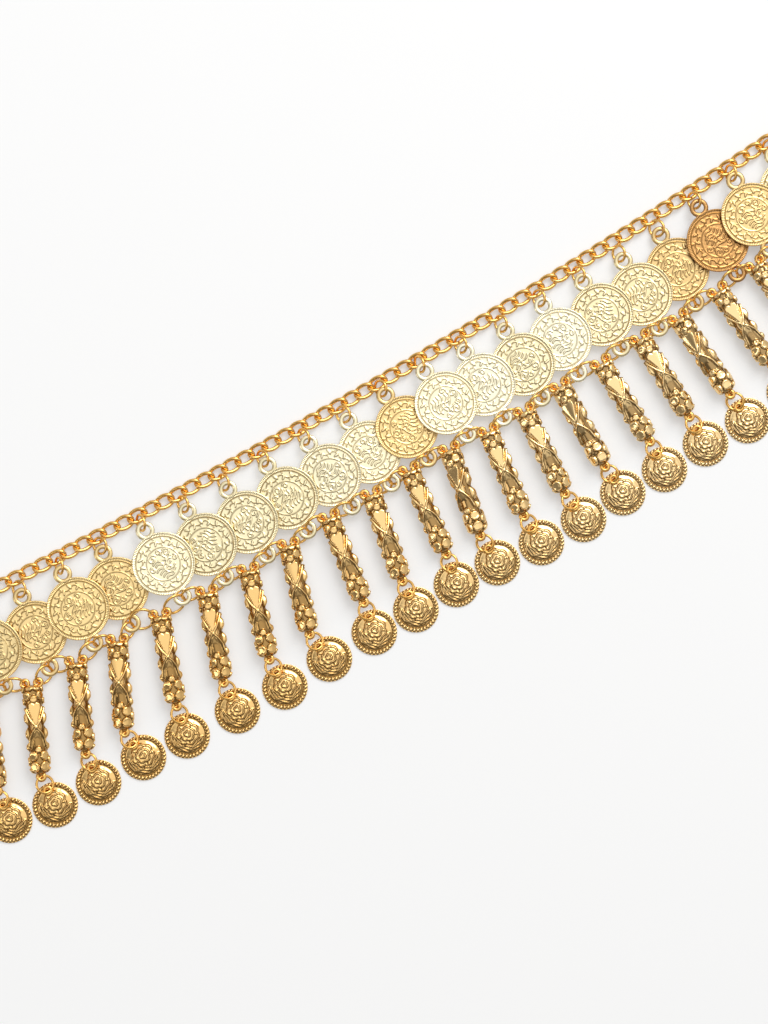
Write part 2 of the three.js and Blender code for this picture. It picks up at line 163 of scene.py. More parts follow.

# For each coin: how far it hangs to the right of its link, how much further down it hangs
# than most, whether it lies over the coin on its right, and its tone, 0 pale to 1 brown, partly
# the coin's own colour and partly painted shade and reflection, such as the darker coins at the left end
COINS = [
    (-3.2, 0, True, 0.5), (-3.2, -0.6, True, 0.46), (-2.8, 0.3, False, 0.55), (-1.8, -0.3, True, 0.5),
    (-2.5, -0.3, False, 0.53), (-0.4, -0.5, True, 0.12), (-0.3, 0.3, True, 0.19), (0.0, 0.3, True, 0.18),
    (0.3, -0.3, True, 0.2), (1.1, 0, True, 0.1), (1.1, -0.2, False, 0.14), (0.8, -1.2, False, 0.6),
    (0.8, -1.5, True, 0.1), (-0.2, -0.5, True, 0.0), (-0.7, 0.3, True, 0.18), (-1.0, -0.3, True, 0.0),
    (-0.3, -0.1, True, 0.24), (-0.8, 0.9, True, 0.3), (-1.1, 0.5, False, 0.68), (-0.2, -0.3, False, 1.0),
    (-1.1, -1.0, True, 0.62), (-0.8, -1.0, True, 0.3), (-1.0, 0, True, 0.2),
]

# For each drop: how far its ears lie below the eyelets, how far its foot lies to the right of the
# middle between its links and its small coin to the right of its foot, the side that its foot ring
# tilts to, and the bar's turn about its length in degrees
DROPS = [
    (1.1, -16.3, -1.4, 1, 5), (2.9, -16.5, -0.8, -1, -8), (2.5, -15.3, -1.1, 1, 0),
    (2.6, -15.7, 1.0, -1, 6), (1.9, -12.0, -1.8, -1, -5), (1.8, -10.1, -0.7, -1, 4),
    (1.4, -8.5, -0.2, -1, -3), (0.9, -8.0, 1.3, -1, 8), (-0.2, -3.0, -1.8, -1, 3),
    (0.0, -3.5, -0.8, -1, -4), (-0.1, -1.8, -1.9, 1, 5), (1.1, -3.9, 0.4, 1, 28),
    (1.9, -3.3, 0.5, -1, 6), (1.3, -3.0, 0.9, -1, -6), (0.4, -2.3, 0.7, 1, 24),
    (1.1, -0.6, -0.4, -1, 2), (0.4, -0.4, 0.2, -1, -5), (1.0, -0.1, 0.6, 1, 26),
    (1.1, 1.4, 0.5, -1, 5), (1.4, 2.0, 0.4, 1, 0), (1.1, 2.5, 0.1, -1, 8),
    (1.1, 3.0, 0.3, 1, -4),
]


# Where everything lies
def advance(pose, length, turn):
    """The place and heading after a stretch of the chain that turns evenly."""
    x, y, heading = pose
    middle = heading + turn / 2
    chord = length if turn == 0 else length * math.sin(turn / 2) / (turn / 2)
    return x + chord * math.cos(middle), y + chord * math.sin(middle), heading + turn


def stretch_starts():
    starts = [None] * (len(STRETCHES) + 1)
    starts[FRONT] = FRONT_START
    for index in range(FRONT, len(STRETCHES)):
        _, links, turn = STRETCHES[index]
        starts[index + 1] = advance(starts[index], links * LINK_PITCH, math.radians(turn))
    for index in range(FRONT - 1, -1, -1):
        _, links, turn = STRETCHES[index]
        starts[index] = advance(starts[index + 1], -links * LINK_PITCH, -math.radians(turn))
    return starts


STARTS = stretch_starts()


def on_stretch(index, distance):
    _, links, turn = STRETCHES[index]
    return advance(STARTS[index], distance, math.radians(turn) * distance / (links * LINK_PITCH))


def turned(axis, angle):
    """The matrix of a turn about one axis."""
    return np.array(Matrix.Rotation(angle, 3, axis))


def unit(vector):
    return vector / np.linalg.norm(vector)


def coin_places():
    """Where each coin lies, stepped up and sloped where it overlaps its neighbours."""
    places = []
    for index, (swing, hang, over_next, tone) in enumerate(COINS):
        x, y, _ = on_stretch(FRONT, (FIRST_COIN_LINK + LINKS_PER_COIN * index + 0.5) * LINK_PITCH)
        reach = CHAIN_TO_COIN + hang
        lean = math.asin(-swing / reach)
        down = np.array([-math.sin(lean), -math.cos(lean), 0])
        over_previous = index > 0 and not COINS[index - 1][2]
        over = index < len(COINS) - 1 and over_next
        centre = np.array([x, y, 0]) + down * reach
        centre[2] = LOW_COIN_HEIGHT + COIN_LEVEL_STEP * (over_previous + over)
        slope = COIN_SLOPE * (over - over_previous)
        turn = turned("Z", -lean) @ turned("Y", -math.atan(slope))
        places.append({"link_x": x, "down": down, "centre": centre, "turn": turn, "tone": tone})
    return places


COIN_PLACES = coin_places()


def drop_places():
    """Where each drop hangs, and what it hangs from, in its own axes from the middle of its ears."""
    places = []
    for index, (below, foot, charm, ring_side, spin) in enumerate(DROPS):
        left, right = COIN_PLACES[index], COIN_PLACES[index + 1]
        eyelets = [coin["centre"] + coin["down"] * EYELET_OFFSET for coin in (left, right)]
        ears = (eyelets[0] + eyelets[1]) / 2
        ears[1] -= below
        ears[2] = 0
        foot_x = (left["link_x"] + right["link_x"]) / 2 + foot
        lean = math.asin((ears[0] - foot_x) / FOOT_LOOP_DEPTH)
        turn = turned("Z", -lean)
        places.append({
            "ears": ears, "turn": turn, "spin": math.radians(spin), "ring_side": ring_side,
            "eyelets": [turn.T @ (eyelet - ears) for eyelet in eyelets],
            "charm_lean": math.asin(-charm / CHARM_DEPTH) - lean,
        })
    return places


def frame_shift():
    """From the belt's layout to the frame, both in mm, found at the twelfth coin, which lies in both."""
    low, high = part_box("coin_12")
    middle = np.array([(low[axis] + high[axis]) / 2 for axis in range(2)]) / METRES
    twelfth = COIN_PLACES[12 - 1]
    return np.append(middle - twelfth["centre"][:2], 0)


SHIFT = frame_shift()


# Meshes
def grid_faces(rows, columns, wrap=False):
    """Quads of a grid of points in row order; with wrap, the last column joins the first."""
    across = np.arange(columns if wrap else columns - 1)
    row, column = np.meshgrid(np.arange(rows - 1), across, indexing="ij")
    following = (column + 1) % columns
    corners = [row * columns + column, row * columns + following]
    corners += [(row + 1) * columns + following, (row + 1) * columns + column]
    return np.stack([corner.ravel() for corner in corners], axis=1).tolist()


def split_along_ridges(quads, height):
    """Triangles of the quads, each cut along the diagonal that climbs less, so that ridges stay smooth."""
    quads = np.array(quads)
    level = np.ravel(height)[quads]
    other = np.abs(level[:, 1] - level[:, 3]) < np.abs(level[:, 0] - level[:, 2])
    quads[other] = np.roll(quads[other], -1, axis=1)
    return np.concatenate([quads[:, :3], quads[:, [0, 2, 3]]]).tolist()


class Shape:
    """Points and faces gathered for one piece, in mm, with what its finish reads at each point:
    relief, 1 on raised metal and 0 in recesses, where the finish paints shade, and outline, the
    distance in mm from the nearest struck line, less than 0 inside a raised form; the finish paints
    dark lines of shade where it is near 0."""

    def __init__(self):
        self.points, self.faces, self.relief, self.outline, self.uv, self.count = [], [], [], [], [], 0

    # Unless given, relief is 0.6: a little painted shade on metals that paint shade in recesses
    def add(self, points, faces, relief=0.6, outline=FAR_FROM_LINES, uv=(0, 0)):
        points = np.asarray(points, float).reshape(-1, 3)
        size = len(points)
        self.points.append(points)
        self.relief.append(np.broadcast_to(np.ravel(relief), size))
        self.outline.append(np.broadcast_to(np.ravel(outline), size))
        self.uv.append(np.broadcast_to(np.asarray(uv, float).reshape(-1, 2), (size, 2)))
        self.faces += [[index + self.count for index in face] for face in faces]
        self.count += size
        return self

    def placed(self, turn, at):
        """The same shape, turned and moved."""
        result = copy.copy(self)
        result.points = [points @ turn.T + at for points in self.points]
        return result

    def piece(self, name, material, slot, replaces=(), tone=0.0):
        mesh = bpy.data.meshes.new(name)
        points = (np.concatenate(self.points) + SHIFT) * METRES
        mesh.from_pydata(points.tolist(), [], self.faces)
        values = {
            "relief": np.concatenate(self.relief), "outline": np.concatenate(self.outline),
            "tone": np.full(self.count, tone),
        }
        for key, value in values.items():
            mesh.attributes.new(key, "FLOAT", "POINT").data.foreach_set("value", value)
        loops = np.empty(len(mesh.loops), dtype=np.int32)
        mesh.loops.foreach_get("vertex_index", loops)
        layer = mesh.uv_layers.new(name="round")
        layer.data.foreach_set("uv", np.concatenate(self.uv)[loops].ravel())
        mesh.shade_smooth()
        mesh.materials.append(material)
        piece = bpy.data.objects.new(name, mesh)
        bpy.context.scene.collection.objects.link(piece)
        return register(piece, replaces)


def register(piece, replaces=()):
    """Gives a piece its body, and hides the solids it takes the place of."""
    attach(piece, "root")
    if replaces:
        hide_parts(*replaces)
    return piece


def tube(path, radius, sides=10, closed=False, flat=1.0):
    """A round wire along a path of points; flat squeezes it along Z."""
    path = np.asarray(path, float)
    ahead = np.roll(path, -1, axis=0) - np.roll(path, 1, axis=0)
    if not closed:
        ahead[0], ahead[-1] = path[1] - path[0], path[-1] - path[-2]
    ahead /= np.linalg.norm(ahead, axis=1, keepdims=True)
    up = np.array([0, 0, 1.0])
    across = np.cross(up, ahead)
    across /= np.linalg.norm(across, axis=1, keepdims=True)
    lift = np.cross(ahead, across)
    angle = np.arange(sides) * 2 * math.pi / sides
    aside, above = np.cos(angle)[None, :, None], np.sin(angle)[None, :, None]
    points = path[:, None] + radius * (aside * across[:, None] + flat * above * lift[:, None])
    faces = grid_faces(len(path), sides, wrap=True)
    last = (len(path) - 1) * sides
    if closed:
        faces += [[last + k, last + (k + 1) % sides, (k + 1) % sides, k] for k in range(sides)]
    else:
        faces += [list(range(sides))[::-1], [last + k for k in range(sides)]]
    return points.reshape(-1, 3), faces


def circle(radius, steps, centre=(0, 0, 0)):
    angle = np.arange(steps) * 2 * math.pi / steps
    return np.stack([radius * np.cos(angle), radius * np.sin(angle), 0 * angle], axis=1) + centre


def wire_loop(radius, wire_radius, centre, steps=18, sides=8, flat=1.0):
    """A closed round loop of wire that lies level."""
    return tube(circle(radius, steps, centre), wire_radius, sides, closed=True, flat=flat)


def disc_grid(cells):
    """A square grid bent into a disc of radius 1, so its cells stay even out to the rim."""
    side = np.linspace(-1, 1, cells + 1)
    a, b = np.meshgrid(side, side, indexing="xy")
    radius = np.maximum(np.abs(a), np.abs(b))
    wide = np.abs(a) >= np.abs(b)
    eighth = math.pi / 4
    with np.errstate(divide="ignore", invalid="ignore"):
        beside = eighth * b / a + (a < 0) * math.pi
        above = math.pi / 2 - eighth * a / b + (b < 0) * math.pi
    angle = np.where(radius == 0, 0, np.where(wide, beside, above))
    return radius * np.cos(angle), radius * np.sin(angle)


def rim_loop(cells):
    """The grid's outer points, anticlockwise."""
    n = cells + 1
    bottom = list(range(n - 1))
    right = [k * n + n - 1 for k in range(n - 1)]
    top = [(n - 1) * n + k for k in range(n - 1, 0, -1)]
    left = [k * n for k in range(n - 1, 0, -1)]
    return bottom + right + top + left


def struck_disc(radius, cells, pattern, edge):
    """A disc struck with a pattern on its upper face, with a rounded edge and a plain back."""
    shape = Shape()
    x, y = disc_grid(cells)
    x, y = radius * x.ravel(), radius * y.ravel()
    z, relief, outline = pattern(x, y)
    turn = np.arctan2(y, x) / (2 * math.pi)
    uv = np.stack([turn, np.hypot(x, y) / radius], axis=1)
    faces = split_along_ridges(grid_faces(cells + 1, cells + 1), z)
    shape.add(np.stack([x, y, z], axis=1), faces, relief, outline, uv)
    previous = rim_loop(cells)
    rim = np.stack([x, y], axis=1)[previous]
    count = len(rim)
    for scale, level in edge:
        current = list(range(shape.count, shape.count + count))
        # The edge's relief of 0.5 paints some shade on it
        shape.add(np.column_stack([rim * scale, np.full(count, level)]), [], 0.5)
        for k in range(count):
            after = (k + 1) % count
            shape.faces.append([previous[k], current[k], current[after], previous[after]])
        previous = current
    shape.faces.append(previous[::-1])
    return shape


# Relief
def smooth(edge0, edge1, value):
    t = np.clip((value - edge0) / (edge1 - edge0), 0, 1)
    return t * t * (3 - 2 * t)


def to_stroke(x, y, points):
    """Distance from each place to a stroke drawn through the points."""
    best = np.full(x.shape, 1e9)
    for (ax, ay), (bx, by) in zip(points[:-1], points[1:]):
        dx, dy = bx - ax, by - ay
        along = np.clip(((x - ax) * dx + (y - ay) * dy) / (dx * dx + dy * dy + 1e-12), 0, 1)
        best = np.minimum(best, np.hypot(x - ax - along * dx, y - ay - along * dy))
    return best


def scroll(cx, cy, radius, start, turns, inward=0.25, steps=22):
    """A curl that winds in towards its middle."""
    angle = np.linspace(start, start + turns * 2 * math.pi, steps)
    reach = radius * np.linspace(1, inward, steps)
    return list(zip(cx + reach * np.cos(angle), cy + reach * np.sin(angle)))


def wave(x0, y0, x1, y1, swing, waves, steps=18):
    """A wavering stroke between two places."""
    along = np.linspace(0, 1, steps)
    length = math.hypot(x1 - x0, y1 - y0)
    aside = swing * np.sin(along * waves * 2 * math.pi)
    return list(zip(x0 + along * (x1 - x0) - aside * (y1 - y0) / length,
                    y0 + along * (y1 - y0) + aside * (x1 - x0) / length))


def to_ellipse(x, y, radius_x, radius_y):
    """Roughly the distance from an ellipse, less than 0 inside it."""
    return (np.hypot(x / radius_x, y / radius_y) - 1) * min(radius_x, radius_y)


# A generic arabesque: scrolls round a fan of wavering strokes
COIN_STROKES = [
    scroll(-2.3, 2.5, 1.35, 0.4, 1.2), scroll(2.2, 2.6, 1.25, 2.6, -1.2),
    scroll(0.05, 3.5, 0.85, -1.2, 1.1), scroll(-3.5, -0.3, 0.9, 1.6, 0.95),
    scroll(3.6, 0.2, 0.85, 1.4, -0.95),
    wave(-2.9, 0.95, 2.8, 1.35, 0.42, 1.0), wave(-2.4, 0.1, 2.5, 0.3, 0.45, 1.4),
    wave(-2.8, -1.4, 2.3, -0.6, 0.4, 1.2), wave(-2.2, -2.4, 2.9, -1.5, 0.4, 1.0),
    wave(-1.7, -3.3, 2.5, -2.5, 0.35, 1.0), wave(-1.0, -4.1, 1.6, -3.5, 0.25, 1.0),
    wave(-0.9, 1.2, 0.4, -2.9, 0.35, 1.0), wave(0.8, 2.1, 1.6, -2.2, 0.4, 1.2),
]
COIN_FIELD = 4.7
COIN_STROKE = 0.2
# The plain rings: radius and half width
COIN_RINGS = [(4.85, 0.1), (7.95, 0.12)]
COIN_VINE_RADIUS = 6.4
COIN_VINE_SWING = 0.5
COIN_VINE_WAVES = 9
COIN_BORDER = (8.5, 8.7)


def coin_pattern(x, y):
    """The arabesque inside a plain ring, with a leafy vine round it and a raised border."""
    r, angle = np.hypot(x, y), np.arctan2(y, x)
    lines = np.minimum.reduce([np.abs(r - radius) - width for radius, width in COIN_RINGS])
    inner = r < COIN_FIELD
    for points in COIN_STROKES:
        lines[inner] = np.minimum(lines[inner], to_stroke(x[inner], y[inner], points) - COIN_STROKE)
    vine = r - COIN_VINE_RADIUS - COIN_VINE_SWING * np.sin(COIN_VINE_WAVES * angle)
    lines = np.minimum(lines, 0.8 * np.abs(vine) - 0.09)
    step = math.pi / COIN_VINE_WAVES
    around = ((angle + step / 2) % step - step / 2) * COIN_VINE_RADIUS
    side = np.where(np.floor((angle + step / 2) / step) % 2 == 0, 1, -1)
    out = (r - COIN_VINE_RADIUS) * side
    leaf = to_ellipse(around + 0.5 * (out + 0.2) - 0.25, out + 0.35, 0.36, 0.72)
    berry = np.hypot(around - 0.55, out - 1.02) - 0.22
    lines = np.minimum.reduce([lines, leaf, berry])
    raised = 1 - smooth(-0.14, 0.16, lines)
    border = smooth(*COIN_BORDER, r)
    height = COIN_THICKNESS / 2 - 0.05 + np.maximum(0.14 * raised, 0.15 * border)
    return height, 1.0, lines


def charm_pattern(x, y):
    """A blossom above sweeping leaves on a dome, inside a beaded rim."""
    r, angle = np.hypot(x, y), np.arctan2(y, x)
    bead_angle = (angle * CHARM_BEADS / (2 * math.pi) + 0.5) % 1 - 0.5
    beads = to_ellipse(
        bead_angle * 2 * math.pi * CHARM_BEAD_RING / CHARM_BEADS, r - CHARM_BEAD_RING, *CHARM_BEAD_SIZE)
    blossom_x, blossom_y = CHARM_BLOSSOM
    px, py = x - blossom_x, y - blossom_y
    reach, turn = np.hypot(px, py), np.arctan2(py, px)
    height = 0.35 + 0.85 * np.clip(1 - (r / CHARM_DOME) ** 2, 0, 1) ** 0.75
    petals = np.full_like(x, 9.0)
    for border, scallop, count, start, step in CHARM_PETALS:
        edge = reach - border - scallop * np.abs(np.sin(count * turn / 2 + start))
        height += step * (1 - smooth(-0.2, 0.2, edge))
        petals = np.minimum(petals, np.abs(edge + 0.18) - 0.2)
    spokes = np.abs(np.sin(2.5 * turn + 0.9)) * reach / 2.5 - 0.12
    petals = np.minimum(petals, np.maximum(spokes, np.abs(reach - 2.5) - 0.5))
    height += 0.25 * (1 - smooth(-0.16, 0.16, petals))
    leaves = np.full_like(x, 9.0)
    for k in range(4):
        bend = np.linspace(math.radians(165 - 5 * k), math.radians(325 + 5 * k), 22)
        wobble = 3.75 + 0.6 * k + 0.2 * np.sin(bend * 7 + 1.3 * k)
        stroke = list(zip(blossom_x + wobble * np.cos(bend), blossom_y + wobble * np.sin(bend)))
        leaves = np.minimum(leaves, to_stroke(x, y, stroke) - 0.19)
    leaves = np.maximum(leaves, r - 4.85)
    rim_line = np.abs(r - 5.2) - 0.09
    height += 0.36 * (1 - smooth(-0.17, 0.17, leaves)) + 0.08 * (1 - smooth(-0.1, 0.1, rim_line))
    height += 0.4 * np.sqrt(np.clip(1 - np.clip(beads / CHARM_BEAD_SIZE[0] + 1, 0, 1) ** 2, 0, 1))
    shade = 1 - 0.5 * smooth(0.02, 0.2, leaves) * (1 - smooth(0.3, 0.8, leaves))
    return height, shade, np.minimum.reduce([petals, leaves, beads, rim_line])


def mound(side, along, reach_side, reach_along):
    """A smooth bump of height 1 over an ellipse."""
    return smooth(0, 0.8, 1 - (side / reach_side) ** 2 - (along / reach_along) ** 2)


PATTERN_REPEATS = 2
TILE_EDGE = 4.4
BAR_SCALE_RADIUS = 2.8
WAIST_DEPTH = 11.9
BAR_CROSS = [
    (3.2, 6.6), (2.3, 8.2), (1.15, 10.3), (0.0, WAIST_DEPTH), (1.1, 13.2), (2.2, 15.2), (2.7, 17.6),
]
# The petals of the drop's two flowers: across, depth, half width and half length
BAR_PETALS = [
    (1.15, 0.5, 1.3, 1.15), (2.15, 2.9, 1.35, 1.35), (0.0, 3.9, 1.15, 1.15), (TILE_EDGE, 1.1, 1.15, 1.25),
    (TILE_EDGE, 4.6, 1.05, 1.15), (1.8, 20.2, 1.5, 1.45), (1.65, 23.4, 1.6, 1.6), (0.0, 18.4, 1.1, 1.0),
    (TILE_EDGE, 21.8, 1.25, 1.55), (TILE_EDGE, 24.6, 1.05, 1.05),
]
# Leaves beside the cross: across, how much they slant, depth, half width and half length
BAR_LEAVES = [(3.9, 0.25, 9.4, 0.95, 2.1), (3.9, 0.0, 13.9, 0.9, 2.0), (TILE_EDGE, 0.0, 17.6, 0.9, 1.4)]


def bar_relief(across, depth):
    """One repeat of the drop's pattern: its height, and the distance from its lines. Across is
    measured from its middle, and all is in mm."""
    side = np.abs(across)
    petals = np.sort([to_ellipse(side - x, depth - y, wide, long) for x, y, wide, long in BAR_PETALS], axis=0)
    flower = np.maximum(petals[0], (petals[0] - petals[1]) / 2)
    height = 0.72 * (1 - smooth(-0.42, 0.12, flower)) - 0.12 * smooth(0.4, 0.8, -flower)
    height = np.maximum(height, 0.7 * mound(side, depth - WAIST_DEPTH, 2.1, 3.8))
    bulge = 1 / np.cos(np.clip(side, 0, 1.9) / BAR_SCALE_RADIUS) - 1
    heart_width = 1.85 * np.clip((11.4 - depth) / 5.0, 0, 1) ** 0.8
    heart_top = 5.4 - 0.55 * np.sin(np.clip(side, 0, 1.85) * 1.7)
    heart = np.maximum(side - heart_width, heart_top - depth)
    point_width = 1.8 * np.clip((depth - 12.4) / 4.6, 0, 1) ** 0.9
    point = np.maximum(side - point_width, depth + 0.25 * side - 17.2)
    facets = np.minimum(heart, point)
    below = depth - WAIST_DEPTH
    level = np.where(below > 0, 0.9 - 0.28 * below, 0.9 + 0.08 * below) + 2.2 * bulge
    facet = 1 - smooth(-0.22, 0.12, facets)
    height = height * (1 - facet) + level * facet
    arms = to_stroke(side, depth, BAR_CROSS) - 0.3
    height = np.maximum(height, 0.95 * (1 - smooth(-0.32, 0.3, arms)))
    knot = np.hypot(side, depth - 11.95) - 0.65
    height = np.maximum(height, 1.15 * (1 - smooth(-0.5, 0.2, knot)))
    leaves = np.minimum.reduce([
        to_ellipse(side - x + slant * (depth - y), depth - y, wide, long)
        for x, slant, y, wide, long in BAR_LEAVES])
    height = np.maximum(height, 0.9 * (1 - smooth(-0.7, 0.15, leaves)))
    return height, np.minimum.reduce([flower, arms, knot, leaves])


def bar_radius(depth):
    """The drop's body without relief: narrow at its ends."""
    rows = [(BAR_START, 1.3), (0.2, 2.1), (0.8, 2.45), (3.0, 2.55), (5.5, 2.4), (12.0, 2.35),
            (17.5, 2.4), (21.5, 2.6), (24.2, 2.4), (25.2, 1.7), (BAR_END, 0.8)]
    return np.interp(depth, [row[0] for row in rows], [row[1] for row in rows])


BAR_ROWS = 108
BAR_UPPER_COLUMNS = 44
BAR_LOWER_COLUMNS = 18
BAR_FLANK = 0.3
BAR_FLATNESS = 0.92
BAR_REST = 0.02
# The depths between which the relief is full
BAR_RELIEF = (0.6, 24.9)


def drop_bar(spin):
    """The bar with its relief, finer above than below, and flat where it rests."""
    depth = np.linspace(BAR_START, BAR_END, BAR_ROWS)
    upper = np.linspace(-BAR_FLANK, math.pi + BAR_FLANK, BAR_UPPER_COLUMNS, endpoint=False)
    lower = np.linspace(math.pi + BAR_FLANK, 2 * math.pi - BAR_FLANK, BAR_LOWER_COLUMNS, endpoint=False)
    angle = np.concatenate([upper, lower])
    columns = len(angle)
    depths, angles = np.meshgrid(depth, angle, indexing="ij")
    tile = 2 * math.pi / PATTERN_REPEATS
    across = ((angles - math.pi / 2 - spin + tile / 2) % tile - tile / 2) * BAR_SCALE_RADIUS
    height, outline = bar_relief(across, depths)
    first, last = BAR_RELIEF
    height = height * smooth(BAR_START, first, depths) * (1 - smooth(last, BAR_END, depths))
    radius = bar_radius(depths) + height
    level = BAR_AXIS_HEIGHT + BAR_FLATNESS * radius * np.sin(angles)
    points = np.stack([radius * np.cos(angles), -depths, np.maximum(level, BAR_REST)], axis=-1)
    faces = split_along_ridges(grid_faces(BAR_ROWS, columns, wrap=True), height)
    faces += [list(range(columns))[::-1], [(BAR_ROWS - 1) * columns + k for k in range(columns)]]
    shade = 0.2 + 0.8 * smooth(0.02, 0.35, height)
    return Shape().add(points.reshape(-1, 3), faces, shade, outline)


EARS = [np.array([side * EAR_SPACING / 2, EAR_RISE, EAR_HEIGHT]) for side in (-1, 1)]


def drop_loops():
    """The soldered loops: two ears above, and one at the foot on its short stem."""
    loops = Shape()
    for ear in EARS:
        loops.add(*wire_loop(EAR_RADIUS, EAR_WIRE_RADIUS, ear))
    foot = (0, -FOOT_LOOP_DEPTH + FOOT_LOOP_WIRE_RADIUS, FOOT_LOOP_HEIGHT)
    loops.add(*wire_loop(FOOT_LOOP_RADIUS, FOOT_LOOP_WIRE_RADIUS, foot))
    return loops.add(*tube([(0, -24.4, 2.5), (0, -25.2, 2.4), (0, -25.9, FOOT_LOOP_HEIGHT)], 0.9, 10))


# Nodes
def node(tree, kind, **settings):
    """A new node, laid out in columns in the order of making."""
    made = tree.nodes.new(kind)
    count = len(tree.nodes)
    made.location = (220 * (count // 5), -280 * (count % 5))
    for name, value in settings.items():
        setattr(made, name, value)
    return made


def feed(tree, target, value):
    """Links a socket to an input, or sets the input's own value."""
    if isinstance(value, bpy.types.NodeSocket):
        tree.links.new(value, target)
    else:
        target.default_value = value


def calculate(tree, operation, *values, kind="ShaderNodeMath"):
    """The result of a Math node over sockets and fixed numbers."""
    made = node(tree, kind, operation=operation)
    for target, value in zip(made.inputs, values):
        feed(tree, target, value)
    return made.outputs["Value"]


def map_range(tree, value, span, result):
    """Smoothly turns one range of a value into another."""
    mapped = node(tree, "ShaderNodeMapRange", interpolation_type="SMOOTHSTEP")
    mapped.inputs["From Min"].default_value, mapped.inputs["From Max"].default_value = span
    mapped.inputs["To Min"].default_value, mapped.inputs["To Max"].default_value = result
    tree.links.new(value, mapped.inputs["Value"])
    return mapped.outputs["Result"]


def blend(tree, factor, first, second):
    """A colour between two others."""
    mix = node(tree, "ShaderNodeMix", data_type="RGBA")
    feed(tree, mix.inputs["Factor"], factor)
    feed(tree, mix.inputs[6], first)
    feed(tree, mix.inputs[7], second)
    return mix.outputs[2]


def colour_ramp(tree, value, stops):
    """The colour at a value, on a ramp through the colours given with their positions."""
    ramp = node(tree, "ShaderNodeValToRGB")
    elements = ramp.color_ramp.elements
    while len(elements) < len(stops):
        elements.new(1.0)
    for element, (position, colour) in zip(elements, stops):
        element.position = position
        element.color = (*colour, 1)
    tree.links.new(value, ramp.inputs["Fac"])
    return ramp.outputs["Color"]


def noise(tree, place, scale, detail):
    made = node(tree, "ShaderNodeTexNoise")
    made.inputs["Detail"].default_value = detail
    feed(tree, made.inputs["Scale"], scale)
    tree.links.new(place, made.inputs["Vector"])
    return made.outputs["Fac"]


def bumped(tree, height, distance, strength, normal=None):
    """A normal that follows a height, laid over another normal if there is one."""
    made = node(tree, "ShaderNodeBump")
    made.inputs["Distance"].default_value = distance
    feed(tree, made.inputs["Strength"], strength)
    tree.links.new(height, made.inputs["Height"])
    if normal is not None:
        tree.links.new(normal, made.inputs["Normal"])
    return made.outputs["Normal"]


def attribute(tree, name):
    return node(tree, "ShaderNodeAttribute", attribute_name=name).outputs["Fac"]


def add_input(tree, name, kind, default=None):
    made = tree.interface.new_socket(name=name, in_out="INPUT", socket_type=kind)
    if default is not None:
        made.default_value = default


# Materials
GRAIN_SCALE = 2600.0
SCRATCH_HEIGHT = 0.00004
LINE_HEIGHT = 0.0001
LINE_BUMP = 0.42
LINE_SLOPE = 0.12
MILLING_BEADS = 112
MILLING_BAND = (0.915, 0.985)
MILLING_BLUR = 0.012


def wear_and_painted_shade_group():
    """Painted shade in recesses, and handling marks on plated metal: cloudy tone, fine scratches, dulling."""
    tree = bpy.data.node_groups.new("plated_wear_and_painted_shade", "ShaderNodeTree")
    add_input(tree, "Raised colour", "NodeSocketColor", (1, 1, 1, 1))
    add_input(tree, "Recess shade colour", "NodeSocketColor", (0, 0, 0, 1))
    for name, default in (
            ("Relief", 0.5), ("Recess shade strength", 0.6), ("Cloud size", 90.0), ("Cloud strength", 0.12),
            ("Smoothness", 0.2), ("Dulling", 0.15), ("Scratch depth", 0.1)):
        add_input(tree, name, "NodeSocketFloat", default)
    for name, kind in (
            ("Colour", "NodeSocketColor"), ("Roughness", "NodeSocketFloat"), ("Normal", "NodeSocketVector")):
        tree.interface.new_socket(name=name, in_out="OUTPUT", socket_type=kind)
    inputs = node(tree, "NodeGroupInput").outputs
    outputs = node(tree, "NodeGroupOutput").inputs
    place = node(tree, "ShaderNodeTexCoord").outputs["Object"]
    cloud = noise(tree, place, inputs["Cloud size"], 4.0)
    grain = noise(tree, place, GRAIN_SCALE, 2.0)

    # Painted shade: the lower the relief, the more of the dark recess shade colour
    recess = node(tree, "ShaderNodeMapRange")
    recess.inputs["From Max"].default_value = 0.7
    recess.inputs["To Max"].default_value = 0.0
    tree.links.new(inputs["Relief"], recess.inputs["Value"])
    tree.links.new(inputs["Recess shade strength"], recess.inputs["To Min"])
    colour = blend(tree, recess.outputs["Result"], inputs["Raised colour"], inputs["Recess shade colour"])
    shade = calculate(tree, "MULTIPLY", cloud, inputs["Cloud strength"])
    feed(tree, outputs["Colour"], blend(tree, shade, colour, inputs["Recess shade colour"]))
    dull = calculate(tree, "MULTIPLY_ADD", cloud, inputs["Dulling"], inputs["Smoothness"])
    feed(tree, outputs["Roughness"], dull)
    feed(tree, outputs["Normal"], bumped(tree, grain, SCRATCH_HEIGHT, inputs["Scratch depth"]))
    return tree


WEAR_AND_SHADE = wear_and_painted_shade_group()


def milling(tree):
    """Fine beads round the coin's border, from its round UV: turn across and reach up."""
    split = node(tree, "ShaderNodeSeparateXYZ")
    feed(tree, split.inputs["Vector"], node(tree, "ShaderNodeUVMap", uv_map="round").outputs["UV"])
    turn = calculate(tree, "MULTIPLY", split.outputs["X"], 2 * math.pi * MILLING_BEADS)
    low, high = MILLING_BAND
    inside = map_range(tree, split.outputs["Y"], (low - MILLING_BLUR, low), (0, 1))
    outside = map_range(tree, split.outputs["Y"], (high, high + MILLING_BLUR), (1, 0))
    band = calculate(tree, "MULTIPLY", inside, outside)
    return calculate(tree, "MULTIPLY", calculate(tree, "COSINE", turn), band)


